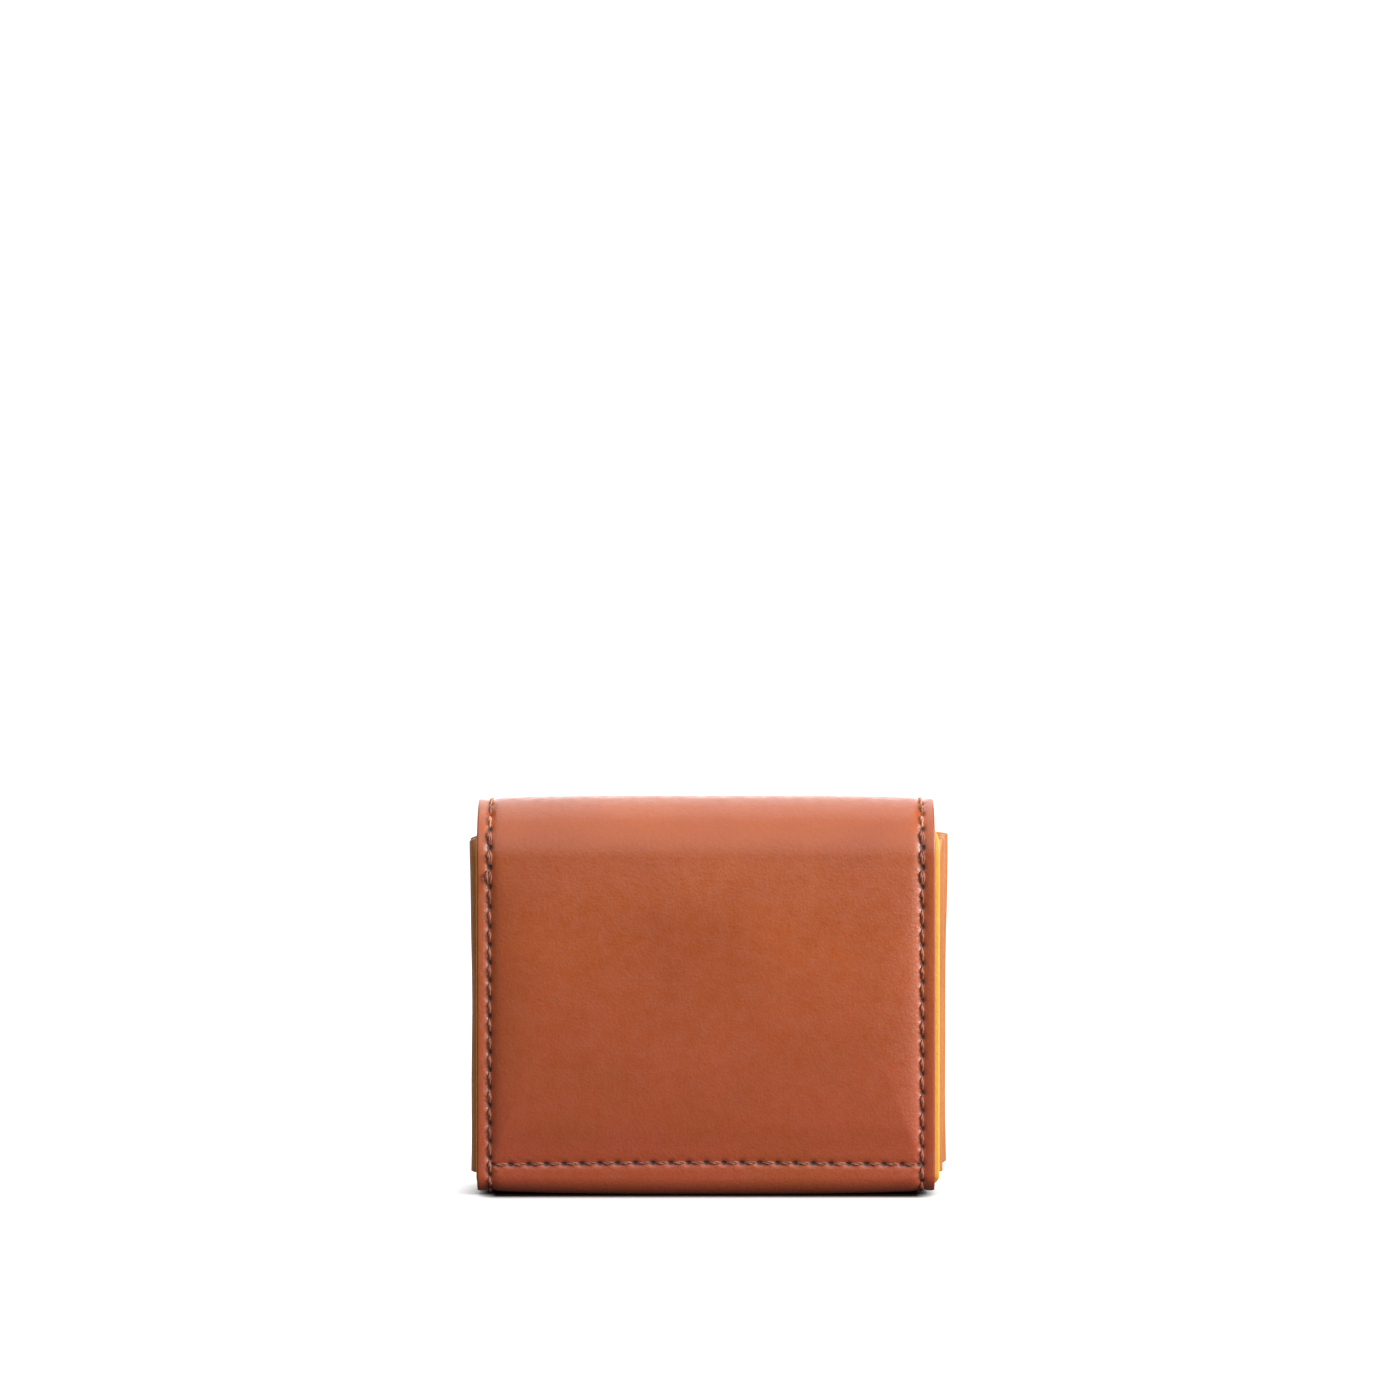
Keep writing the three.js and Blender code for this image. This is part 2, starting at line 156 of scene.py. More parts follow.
cover_stretches = [
    (-np.inf, 0.0, straight((front_y, front_top), (0, -1))),
    (FRONT_FOLD, FRONT_FOLD, fold((front_y - front_fold, front_fold), front_fold, 0)),
    (BASE, BASE, straight((front_y - front_fold, 0), (-1, 0))),
    (BACK_FOLD, BACK_FOLD, fold((rear_y + back_fold, back_fold), back_fold, -math.pi / 2)),
    (BACK, BACK, straight((rear_y, back_fold), (0, 1))),
    (ROLL, ROLL, fold((roll_y, roll_z), roll_radius, math.pi)),
    (FLAP, FLAP, straight((flap_y, roll_z), (0, -1))),
]


def cover_line(s):
    """Y, Z and the inward normal of the cover's outer face, at distances s along the strip."""
    s = np.asarray(s, float)
    out = [np.zeros_like(s) for _ in range(4)]
    for begins, origin, stretch in cover_stretches:
        here = s >= begins
        for values, found in zip(out, stretch(s[here] - origin)):
            values[here] = found
    return out


def roll_place(degrees):
    """Distance along the strip to a place on the top roll: 180 is the back, 0 the flap."""
    return ROLL + math.radians(180 - degrees) * roll_radius


print("strip length, mm:", round(END / mm, 1))

# %% [markdown]
# ## How the holder has settled
# A used holder isn't a perfect box: the ends of its base curl up a little from the table, and
# the top roll sags slightly towards its ends. A cloth simulation could give that, but the leather
# is stiff and the change is under a millimetre, so a small formula moves every soft piece alike.

# %% How the holder has settled
base_curl = 0.85 * mm
base_reach = 16 * mm
top_sag = 0.90 * mm
top_rise = 1.28 * mm
top_reach = 14 * mm


def settle(points):
    out = np.array(points, float)
    side = np.clip(out[:, 0] / half, -1.1, 1.1)
    across = np.abs(side)
    low = np.clip(1 - out[:, 2] / base_reach, 0, 1) ** 1.5
    high = np.clip((out[:, 2] - roll_z) / top_reach, 0, 1)
    out[:, 2] += base_curl * across ** 3 * low
    out[:, 2] += (top_rise - top_sag * (1 - 0.1 * side) * across ** 4) * high
    return out


def place(x, s, depth):
    """Points of the folded strip: x across, s along, depth inwards from the outer face."""
    y, z, ny, nz = cover_line(s)
    return settle(np.stack([x, y + depth * ny, z + depth * nz], axis=1))


# %% [markdown]
# ## Making a sheet of leather
# Leather is a closed body with two faces and softly rounded edges. It could be a plane with a
# Solidify and a Bevel modifier, but the outer face needs fine detail near the seams and the
# inner face needs none. So each row of the sheet is one closed loop of points: fine across the
# outer face, down the edge, back across the inner face in a few long steps.

# %% A mesh object from points and faces
def smooth_object(name, points, faces, corner_angle=50):
    mesh = bpy.data.meshes.new(name)
    mesh.from_pydata(points.tolist(), [], faces)
    mesh.shade_smooth()
    mesh.set_sharp_from_angle(angle=math.radians(corner_angle))
    obj = bpy.data.objects.new(name, mesh)
    bpy.context.collection.objects.link(obj)
    return obj


def note(obj, name, values):
    """Stores one number, or one vector, per point, for the finishes to read."""
    values = np.asarray(values, np.float32)
    kind = "FLOAT" if values.ndim == 1 else "FLOAT_VECTOR"
    attribute = obj.data.attributes.new(name, kind, "POINT")
    attribute.data.foreach_set("value" if values.ndim == 1 else "vector", values.ravel())


# %% Rows of loops joined into a closed sheet
def loop_faces(rows, count):
    """Faces of a closed sheet made of rows of count points each, with a cap at both ends."""
    start = np.arange(rows - 1)[:, None] * count
    here = np.arange(count)[None, :]
    after = (here + 1) % count
    quads = np.stack([start + here, start + after, start + count + after, start + count + here], 2)
    faces = quads.reshape(-1, 4).tolist()
    faces.append(list(range(count))[::-1])
    faces.append([(rows - 1) * count + i for i in range(count)])
    return faces


edge_steps = np.array([0, 0.03, 0.1, 0.2, 0.35, 0.6]) * mm
edge_round = 0.35 * mm


def edge_drop(distance, radius=edge_round):
    """How far a face has rounded off at a distance from the sheet's edge."""
    near = np.clip(radius - distance, 0, radius)
    return radius - np.sqrt(radius ** 2 - near ** 2)


def span(start, end, step):
    """Places from start to end in equal steps of about the given size."""
    return np.linspace(start, end, max(2, round((end - start) / step) + 1))


def across_columns(width_half, interior, fine=None):
    """Places across half a sheet, mirrored: closer together at the edge and at the seam."""
    parts = [width_half - edge_steps]
    if fine is None:
        parts.append(span(0, width_half - 1.2 * mm, interior))
    else:
        parts.append(span(fine + 1.5 * mm, width_half - 0.9 * mm, 0.4 * mm))
        parts.append(span(fine - 1.5 * mm, fine + 1.3 * mm, 0.2 * mm))
        parts.append(np.arange(0, fine - 1.6 * mm, interior))
    right = np.unique(np.round(np.concatenate(parts), 6))
    return np.concatenate([-right[::-1], right[right > 0]])


# %% [markdown]
# The outline of a sheet is described by its distance field: how far a place is from the nearest
# cut edge. The same number rounds the edge, darkens the burnished rim and keeps the seam at a
# constant margin, even round the flap's corners.

# %% The outline of a strip with optional rounded far corners
class Outline:
    """A strip from start to end. A free end is a cut edge; the others join another length."""

    def __init__(self, width_half, start, end, start_free=False, end_free=False, corner=0.0):
        self.width_half = width_half
        self.start = start
        self.end = end
        self.start_free = start_free
        self.end_free = end_free
        self.corner = corner

    def half_at(self, s):
        """Half of the width at a distance s along the strip."""
        into = np.clip(s - (self.end - self.corner), 0, self.corner)
        return self.width_half - self.corner + np.sqrt(self.corner ** 2 - into ** 2)

    def distance(self, x, s):
        """Distance from the nearest free edge."""
        side = self.width_half - np.abs(x)
        found = side.copy()
        if self.start_free:
            found = np.minimum(found, s - self.start)
        if self.end_free:
            end = self.end - s
            found = np.minimum(found, end)
            in_corner = (side < self.corner) & (end < self.corner)
            out = np.hypot(self.corner - side, self.corner - end)
            found = np.where(in_corner, self.corner - out, found)
        return np.maximum(found, 0)

    def rows(self, places):
        """Places along the strip, with closer rows at free ends and round the corners."""
        parts = [places[(places > self.start) & (places < self.end)], [self.start, self.end]]
        if self.start_free:
            parts.append(self.start + edge_steps)
        if self.end_free:
            parts.append(self.end - edge_steps)
        if self.corner:
            turn = np.radians(np.arange(0, 90, 4))
            parts.append(self.end - self.corner + self.corner * np.sin(turn))
        found = np.unique(np.round(np.concatenate(parts), 7))
        keep = np.concatenate([[True], np.diff(found) > 0.01 * mm])
        return found[keep]


# %% The sheet itself
def leather_sheet(name, outline, rows, columns, outer, inner, put=place, inner_step=4 * mm):
    """outer(x, s, edge) and inner(x, s, edge) give the depths of the two faces."""
    inner_columns = across_columns(outline.width_half, inner_step)[::-1]
    flat = np.concatenate([columns, inner_columns]) / outline.width_half
    is_outer = np.concatenate([np.ones(len(columns), bool), np.zeros(len(inner_columns), bool)])
    s = np.repeat(rows, len(flat))
    x = np.tile(flat, len(rows)) * outline.half_at(s)
    outer_side = np.tile(is_outer, len(rows))
    edge = outline.distance(x, s)
    depth = np.where(outer_side, outer(x, s, edge), inner(x, s, edge))
    obj = smooth_object(name, put(x, s, depth), loop_faces(len(rows), len(flat)))
    note(obj, "strip", np.stack([x, s, depth], axis=1))
    note(obj, "edge", np.clip(1 - edge / (0.9 * mm), 0, 1))
    return obj, x, s, edge, outer_side


# %% [markdown]
# ## Where the needle went
# The seams come before the leather, because each stitch pulls the leather down around its hole.
# The stitches are about 4 mm long. One list of holes is kept for each seam: the same list dents
# the leather, paints shade near-black into the hole, and later carries the thread.

# %% Places of the stitch holes
stitch = 4.0 * mm
first_hole = ROLL + 6.5 * mm
long_stitch = 4.33 * mm
long_count = 5
lower_stitch = {-1: 3.91 * mm, 1: 4.02 * mm}
base_middle = (BASE + BACK_FOLD) / 2
REAR_CUT = roll_place(120)
FRONT_CUT = roll_place(60)
pocket_seam_z = (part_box("seam_pockets")[0].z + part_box("seam_pockets")[1].z) / 2
POCKET_SEAM = BACK + pocket_seam_z - back_fold
pocket_bow = 0.75 * mm


def pocket_line(x):
    """The pocket seam's place along the strip: a little higher in the middle than at its ends."""
    return POCKET_SEAM - 0.15 * mm + pocket_bow * (1 - (x / seam_x) ** 2)


def side_holes(start, end, side):
    """Holes of a side seam, from the last one before start to the first one after end.

    The first stitches below the roll are a little longer, as the doubled thread needs room."""
    below = np.cumsum([0] + [long_stitch] * long_count + [lower_stitch[side]] * 30)
    above = np.arange(1, 20) * stitch
    s = np.concatenate([first_hole - below[::-1], first_hole + above])
    low = np.searchsorted(s, start) - 1
    high = np.searchsorted(s, end) + 1
    s = s[low:high]
    return np.stack([np.full(len(s), side * seam_x), s], axis=1)


def equal_steps(corners, length):
    """Points about one stitch apart along a chain of corners."""
    corners = np.array(corners)
    pieces = np.hypot(*np.diff(corners, axis=0).T)
    travelled = np.concatenate([[0], np.cumsum(pieces)])
    at = np.linspace(0, travelled[-1], round(travelled[-1] / length) + 1)
    return np.stack([np.interp(at, travelled, corners[:, i]) for i in range(2)], axis=1)


def front_seam():
    left, right = (side_holes(base_middle, base_middle, side)[0, 1] for side in (-1, 1))
    chain = [(-seam_x, left), (-seam_x, seam_margin), (seam_x, seam_margin), (seam_x, right)]
    return equal_steps(chain, stitch)


def flap_seam():
    high = side_holes(FRONT_CUT, FRONT_CUT, 1)[-1, 1]
    radius = flap_corner - seam_margin
    turn = np.radians(np.arange(0, 91, 3))
    bend_x = seam_x - radius + radius * np.cos(turn)
    bend_s = END - flap_corner + radius * np.sin(turn)
    left = [(-x, s) for x, s in zip(bend_x, bend_s)]
    right = [(x, s) for x, s in zip(bend_x, bend_s)][::-1]
    return equal_steps([(-seam_x, high), *left, *right, (seam_x, high)], stitch)


def pocket_seam():
    x = np.linspace(-1, 1, 25) * (seam_x - 0.6 * mm)
    return np.stack([x, pocket_line(x)], axis=1)


seams = {
    "back_left": side_holes(base_middle, REAR_CUT, -1),
    "back_right": side_holes(base_middle, REAR_CUT, 1),
    "pockets": pocket_seam(),
    "top_left": side_holes(REAR_CUT, FRONT_CUT, -1),
    "top_right": side_holes(REAR_CUT, FRONT_CUT, 1),
    "front": front_seam(),
    "flap": flap_seam(),
}
all_holes = np.unique(np.round(np.concatenate(list(seams.values())), 6), axis=0)
print("stitch holes:", len(all_holes))

# %% [markdown]
# ## The relief of the cover
# Three things shape the outer face. The leather swells softly between the seams, over the board
# and the pockets. It dips into a narrow valley along each seam. And at each hole it dimples, with
# small puckers beside the thread. All three are sums of smooth bumps, so no sculpting is needed.

# %% The relief of the cover
panel_swell = 1.00 * mm
swell_reach = 3.8 * mm
valley_deep = 0.45 * mm
valley_half = 1.20 * mm
dimple_deep = 0.34 * mm
dimple_half = 0.50 * mm
pucker = 0.05 * mm
pucker_ring = 1.3 * mm
pucker_half = 0.5 * mm
pucker_reach = 1.6 * mm
pocket_shallow = 0.55
wave_high = 0.10 * mm
hole_stretch = 1.3
base_fade = 12 * mm
roll_fade = 18 * mm
snap_flat = 9 * mm
snap_places = (FLAP + roll_z - snap_z, front_top - snap_z)


def nearest_hole(x, s):
    """Distance to the nearest stitch hole; the thread has pulled each hole into a short slot."""
    found = np.full(len(x), 1.0)
    for hole_x, hole_s in all_holes:
        near = (np.abs(s - hole_s) < 3 * mm) & (np.abs(x - hole_x) < 3 * mm)
        along_x = abs(abs(hole_x) - seam_x) > 0.3 * mm
        wide, tall = (hole_stretch, 1.0) if along_x else (1.0, hole_stretch)
        away = np.hypot((x[near] - hole_x) / wide, (s[near] - hole_s) / tall)
        found[near] = np.minimum(found[near], away)
    return found


def ease(t):
    """Goes from 0 to 1 with soft ends."""
    t = np.clip(t, 0, 1)
    return t * t * (3 - 2 * t)


def swell(x, s, edge):
    """How far the leather stands out between the seams: not on the base, which rests, fading
    towards the roll, and flat round the press stud."""
    inside = np.clip(edge - seam_margin, 0, None)
    from_pocket = np.abs(s - pocket_line(x)) / 2.5
    inside = np.where(s > BACK_FOLD, np.minimum(inside, from_pocket), inside)
    share = 1 - np.exp(-inside / swell_reach)
    share *= ease(np.maximum(FRONT_FOLD - s, s - BACK) / base_fade)
    into_roll = np.clip(roll_fade + (FLAP - ROLL) / 2 - np.abs(s - (ROLL + FLAP) / 2), 0, None)
    share *= 1 - 1.05 * (1 - np.exp(-(into_roll / roll_fade) ** 3))
    for snap_s in snap_places:
        share *= 1 - np.exp(-(np.hypot(x, s - snap_s) / snap_flat) ** 2)
    waves = np.sin(x / (17 * mm) + 1.3) * np.sin(s / (23 * mm) + 0.4)
    return share * (panel_swell + wave_high * waves)


def seam_distance(x, s, edge):
    """Distance from the nearest seam's line."""
    line = np.abs(edge - seam_margin)
    on_back = (np.abs(x) < seam_x) & (s > BACK_FOLD) & (s < ROLL)
    return np.where(on_back, np.minimum(line, np.abs(s - pocket_line(x))), line)


def seam_relief(x, s, edge, hole):
    """The valley along the seams, the dimples at the holes and the puckers beside them."""
    line = seam_distance(x, s, edge)
    shallow = np.where(line < np.abs(edge - seam_margin), pocket_shallow, 1.0)
    valley = shallow * valley_deep * np.exp(-(line / valley_half) ** 2)
    dimple = dimple_deep * np.exp(-(hole / dimple_half) ** 2)
    ring = np.exp(-((hole - pucker_ring) / pucker_half) ** 2)
    ridge = pucker * ring * np.exp(-(line / pucker_reach) ** 2)
    return valley + dimple - ridge


# painted shade: the stitch holes are painted near-black and the seam grooves faintly dark
hole_shade_reach = 0.64 * mm
hole_shade_strain = 0.14 * mm
strained_at = first_hole - 6.4 * mm
groove_shade_strength = 0.35
groove_half = 0.45 * mm


def painted_hole_shade(x, s, edge, hole):
    """Painted shade: near-black holes, strained wider where the gussets begin, and a faint groove."""
    strained = np.clip(1 - np.abs(s - strained_at) / (8 * mm), 0, 0.5) * 2
    stitch_shade = np.clip((hole_shade_reach + hole_shade_strain * strained - hole) / (0.3 * mm), 0, 1)
    # over the roll, where the overhead light falls, the painted hole shade is weaker and the groove has
    # none
    below_roll = np.clip((first_hole + 2 * mm - s) / (2 * mm), 0, 1)
    below_roll += np.clip((s - FLAP) / (2 * mm), 0, 1)
    groove_shade = groove_shade_strength * below_roll * np.exp(-(seam_distance(x, s, edge) / groove_half) ** 2)
    return np.maximum(stitch_shade * (0.4 + 0.6 * np.clip(below_roll, 0, 1)), groove_shade)


def cover_sheet(name, outline, spacing, interior):
    """A length of the cover: spacing is the rows' distance, interior that of its columns."""
    phase = first_hole % spacing
    places = np.arange(outline.start - spacing, outline.end, spacing)
    rows = outline.rows(np.round((places - phase) / spacing) * spacing + phase)
    if outline.start < POCKET_SEAM < outline.end:
        rows = outline.rows(np.concatenate([rows, POCKET_SEAM + span(-1.6 * mm, 2.2 * mm, 0.2 * mm)]))
    columns = across_columns(half, interior, fine=seam_x)
    holes = {}

    def outer(x, s, edge):
        hole = nearest_hole(x, s)
        holes["near"] = hole
        on_base = (s > FRONT_FOLD) & (s < BACK)
        depth = edge_drop(edge) + seam_relief(x, s, edge, hole) - swell(x, s, edge)
        return np.where(on_base, np.maximum(depth, 0), depth)

    def inner(x, s, edge):
        return cover_thick - edge_drop(edge)

    obj, x, s, edge, outer_side = leather_sheet(name, outline, rows, columns, outer, inner)
    # painted shade of the holes and grooves, stored for the outer face only
    note(obj, "stitch_shade", painted_hole_shade(x, s, edge, holes["near"]) * outer_side)
    print(name, "faces:", len(obj.data.polygons))
    return obj


# %% [markdown]
# ## The cover in four lengths
# The frame bends the strip at four places, and a piece can only blend across one joint. So the
# cover is made in four lengths that meet where a body is rigid. They share their rows, so no
# step shows, and each length is shaped round its own fold.

# %% The cover in four lengths
cover_parts = {
    "front": Outline(half, 0, base_middle, start_free=True),
    "back": Outline(half, base_middle, REAR_CUT),
    "top": Outline(half, REAR_CUT, FRONT_CUT),
    "flap": Outline(half, FRONT_CUT, END, end_free=True, corner=flap_corner),
}
pocket_step = np.diff(seams["pockets"][:, 0])[0] / 10
cover = {
    "front": cover_sheet("cover_front_panel", cover_parts["front"], 0.4 * mm, 0.42 * mm),
    "back": cover_sheet("cover_back_panel", cover_parts["back"], 0.4 * mm, pocket_step),
    "top": cover_sheet("cover_top_roll", cover_parts["top"], 0.4 * mm, 1.2 * mm),
    "flap": cover_sheet("cover_flap_panel", cover_parts["flap"], 0.4 * mm, 0.42 * mm),
}
# the ends of the names of the frame's nodes that each length of cover and lining stands for
node_ends = {"front": ["front"], "back": ["back"], "top": ["roll_rear", "roll_front"], "flap": ["flap"]}

# %% [markdown]
# ## The lining
# The golden lining follows the same line inside the cover. It lies against the leather at the
# sides, where both are sewn together, and steps inwards over the boards. Its edge stands a
# little proud of the cover, so a thin golden line shows along the sides.

# %% The lining
def lining_face(x, s, edge):
    step = ease((edge - 3.5 * mm) / (3 * mm))
    return cover_thick + 0.02 * mm + (lining_depth - cover_thick) * step


def lining_place(x, s, depth):
    """The lining stands proud of the panels, mostly at the right, but not of the folds."""
    on_back = np.clip((s - BACK + 4.5 * mm) / (3 * mm), 0, 1)
    on_back *= np.clip((ROLL + 7 * mm - s) / (3 * mm), 0, 1)
    on_front = np.clip((FRONT_FOLD - s) / (4 * mm), 0, 1)
    near_edge = np.clip((np.abs(x) - half + 4 * mm) / (4 * mm), 0, 1)
    proud = np.where(x > 0, lining_proud, -0.2 * mm) * near_edge
    return place(x + proud * np.maximum(on_back, on_front), s, depth)


def lining_sheet(name, outline):
    rows = outline.rows(span(outline.start, outline.end, 0.7 * mm))
    columns = across_columns(outline.width_half, 1.5 * mm)

    def outer(x, s, edge):
        return lining_face(x, s, edge) + edge_drop(edge, 0.25 * mm)

    def inner(x, s, edge):
        return lining_face(x, s, edge) + lining_thick - edge_drop(edge, 0.25 * mm)

    return leather_sheet(name, outline, rows, columns, outer, inner,
                         put=lining_place, inner_step=1.5 * mm)[0]


lining_proud = lining_half - half + 0.25 * mm
lining_parts = dict(cover_parts, front=Outline(half, 0.4 * mm, base_middle, start_free=True))
lining = {part: lining_sheet("lining_" + part, outline) for part, outline in lining_parts.items()}

# %% [markdown]
# ## The thread
# The thread is thick waxed two-ply, so each stitch shows as a short twisted lozenge. A curve with
# a bevel would give a plain worm, so each stitch is built from two plies that wind around each
# other, dive into the hole at both ends and thin out there.

# %% One ply of one stitch
ply_radius = 0.23 * mm
ply_offset = 0.16 * mm
stitch_rings = 11
ply_sides = 7
stitch_high = 0.30 * mm
stitch_dive = 0.55 * mm


def tube(points, radii, sides):
    """Points and faces of a closed tube with flat ends along a chain of points."""
    along = np.gradient(points, axis=0)
    along /= np.linalg.norm(along, axis=1)[:, None]
    guide = np.array([0.31, 0.87, 0.39])
    side = np.cross(along, guide)
    side /= np.linalg.norm(side, axis=1)[:, None]
    up = np.cross(side, along)
    angle = np.linspace(0, 2 * math.pi, sides, endpoint=False)
    ring = side[:, None] * np.cos(angle)[None, :, None] + up[:, None] * np.sin(angle)[None, :, None]
    found = points[:, None] + ring * radii[:, None, None]
    return found.reshape(-1, 3), loop_faces(len(points), sides)


def stitch_ply(start, end, ply, put, ground, slant=0.12 * mm, shift=0.0, turns=0.9, lift=1.0):
    """One ply of a stitch between two holes of the flat strip."""
    t = np.linspace(0, 1, stitch_rings)
    rise = np.sin(math.pi * t) ** 0.55
    phase = 2 * math.pi * turns * t + math.pi * ply
    step = end - start
    sideways = np.array([-step[1], step[0]]) / np.hypot(*step)
    offset = ply_offset * np.cos(phase) * rise + slant * (2 * t - 1) * rise + shift * rise
    spread = 0.10 + 0.80 * t
    flat = start + step * spread[:, None] + sideways * offset[:, None]
    height = ply_offset * np.sin(phase) * rise + (stitch_high + stitch_dive) * rise * lift - stitch_dive
    return put(flat[:, 0], flat[:, 1], ground - height), ply_radius * (0.45 + 0.55 * rise)


# %% A run of stitches as one piece
doubled_from = first_hole - 3.2 * long_stitch
doubled_to = first_hole


def is_doubled(start, end):
    """The side seams are sewn twice where the gussets begin."""
    middle = (start[1] + end[1]) / 2
    on_side = abs(abs(start[0]) - seam_x) < 0.1 * mm and abs(start[0] - end[0]) < 0.1 * mm
    return on_side and doubled_from < middle < doubled_to


def is_loose(start, end):
    """One of the doubled stitches was not pulled tight and stands out as a small loop."""
    at_loop = abs(end[1] - (first_hole - 2 * long_stitch)) < 0.1 * mm
    return is_doubled(start, end) and start[0] < 0 and at_loop


def stitches(name, holes, put=place, ground=valley_deep - 0.08 * mm):
    """Each pass of a stitch has a shift to the side and a lift. Stitches over the roll get a painted
    highlight.
    """
    points, faces, twist, roll_highlight, count = [], [], [], [], 0
    for index in range(len(holes) - 1):
        start, end = holes[index], holes[index + 1]
        passes = [(0.0, 1.0)]
        if is_doubled(start, end):
            passes = [(-0.24 * mm, 1.0), (0.24 * mm, 1.2)]
        if is_loose(start, end):
            passes = [(0.62 * mm, 1.6), (-0.16 * mm, 1.1)]
        for shift, lift in passes:
            for ply in range(2):
                line, radii = stitch_ply(start, end, ply, put, ground, shift=shift, lift=lift)
                found, made = tube(line, radii, ply_sides)
                points.append(found)
                faces.extend([[count + corner for corner in face] for face in made])
                twist.append(np.repeat(np.linspace(0, 1, stitch_rings) + index, ply_sides))
                # stitches over the roll are marked for a painted highlight from the overhead light
                on_roll = put is place and first_hole - 0.1 * mm < (start[1] + end[1]) / 2 < FLAP
                roll_highlight.append(np.full(len(found), float(on_roll)))
                count += len(found)
    obj = smooth_object(name, np.concatenate(points), faces, corner_angle=70)
    note(obj, "twist", np.concatenate(twist))
    note(obj, "roll_highlight", np.concatenate(roll_highlight))
    return obj


thread = {key: stitches("stitches_" + key, holes) for key, holes in seams.items()}
thread_nodes = {
    "back_left": ["seam_back_left"],
    "back_right": ["seam_back_right"],
    "pockets": ["seam_pockets"],
    "top_left": ["seam_roll_rear_left", "seam_roll_front_left"],
    "top_right": ["seam_roll_rear_right", "seam_roll_front_right"],
    "front": ["seam_front"],
    "flap": ["seam_flap"],
}
print("stitches made:", sum(len(holes) - 1 for holes in seams.values()))

# %% [markdown]
# ## The gussets
# Each gusset is one narrow strip of thinner leather, folded like an accordion with two pleats
# that bulge out past the cover. Its outline seen from above is rounded from a few corners, then
# given a thickness and drawn up from just over the base to just under the roll.

# %% The gussets' outline seen from above
gusset_thick = 0.9 * mm
gusset_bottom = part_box("gusset_rear_pleat_left")[0].z
divider_y = (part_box("divider_rear")[1].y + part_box("divider_front")[0].y) / 2
flange_rear = rear_y + cover_thick + lining_thick + gusset_thick / 2 + 0.12 * mm
flange_front = front_y - cover_thick - lining_thick - gusset_thick / 2 - 0.12 * mm
gusset_corners = {
    -1: [(43.6, flange_rear / mm), (50.1, flange_rear / mm), (51.5, -6.1), (46.3, divider_y / mm),
         (51.6, 1.4), (50.3, flange_front / mm), (43.6, flange_front / mm)],
    1: [(43.6, flange_rear / mm), (50.3, flange_rear / mm), (52.1, -6.1), (46.3, divider_y / mm),
        (53.4, 1.4), (50.6, flange_front / mm), (43.6, flange_front / mm)],
}


def rounded(chain, times):
    """Cuts the corners of a chain again and again, which rounds them (Chaikin's way)."""
    chain = np.array(chain, float)
    for _ in range(times):
        near = chain[:-1] * 0.8 + chain[1:] * 0.2
        far = chain[:-1] * 0.2 + chain[1:] * 0.8
        middle = np.stack([near, far], axis=1).reshape(-1, 2)
        chain = np.concatenate([chain[:1], middle, chain[-1:]])
    return chain


def chain_normals(chain):
    along = np.gradient(chain, axis=0)
    along /= np.linalg.norm(along, axis=1)[:, None]
    return np.stack([along[:, 1], -along[:, 0]], axis=1)


# %% A gusset drawn up along its height
def gusset_top(x, y, side):
    """The top edge climbs towards the panels; the left pleats have sagged more than the right."""
    climb = ease((52.6 * mm - x) / (5 * mm))
    front = ease((y - divider_y + 3 * mm) / (6 * mm))
    if side < 0:
        return 77.2 * mm + 1.3 * mm * climb + 0.2 * mm * front
    return 78.0 * mm + 0.5 * mm * climb + 0.6 * mm * front


def gusset_low(x, y):
    """The lower corner of the front pleat is cut away at a slant."""
    front = ease((y - divider_y + 1 * mm) / (4 * mm))
    return gusset_bottom + 1.3 * mm * front * ease((x - 50 * mm) / (3 * mm))


def under_roll(y, z):
    """Keeps the top of the gusset inside the curve of the roll's lining."""
    inside = roll_radius - lining_depth - lining_thick - gusset_thick / 2 - 0.1 * mm
    rise = np.clip(z - roll_z, 0, inside * 0.99)
    reach = np.sqrt(inside ** 2 - rise ** 2)
    return np.clip(y, roll_y - reach - (z < roll_z) * 1.2 * mm, None)


gusset_bow = 0.35 * mm
gusset_flare = 0.35 * mm
crinkle_high = 0.06 * mm
crinkle_long = 5.1 * mm
free_from = 48 * mm


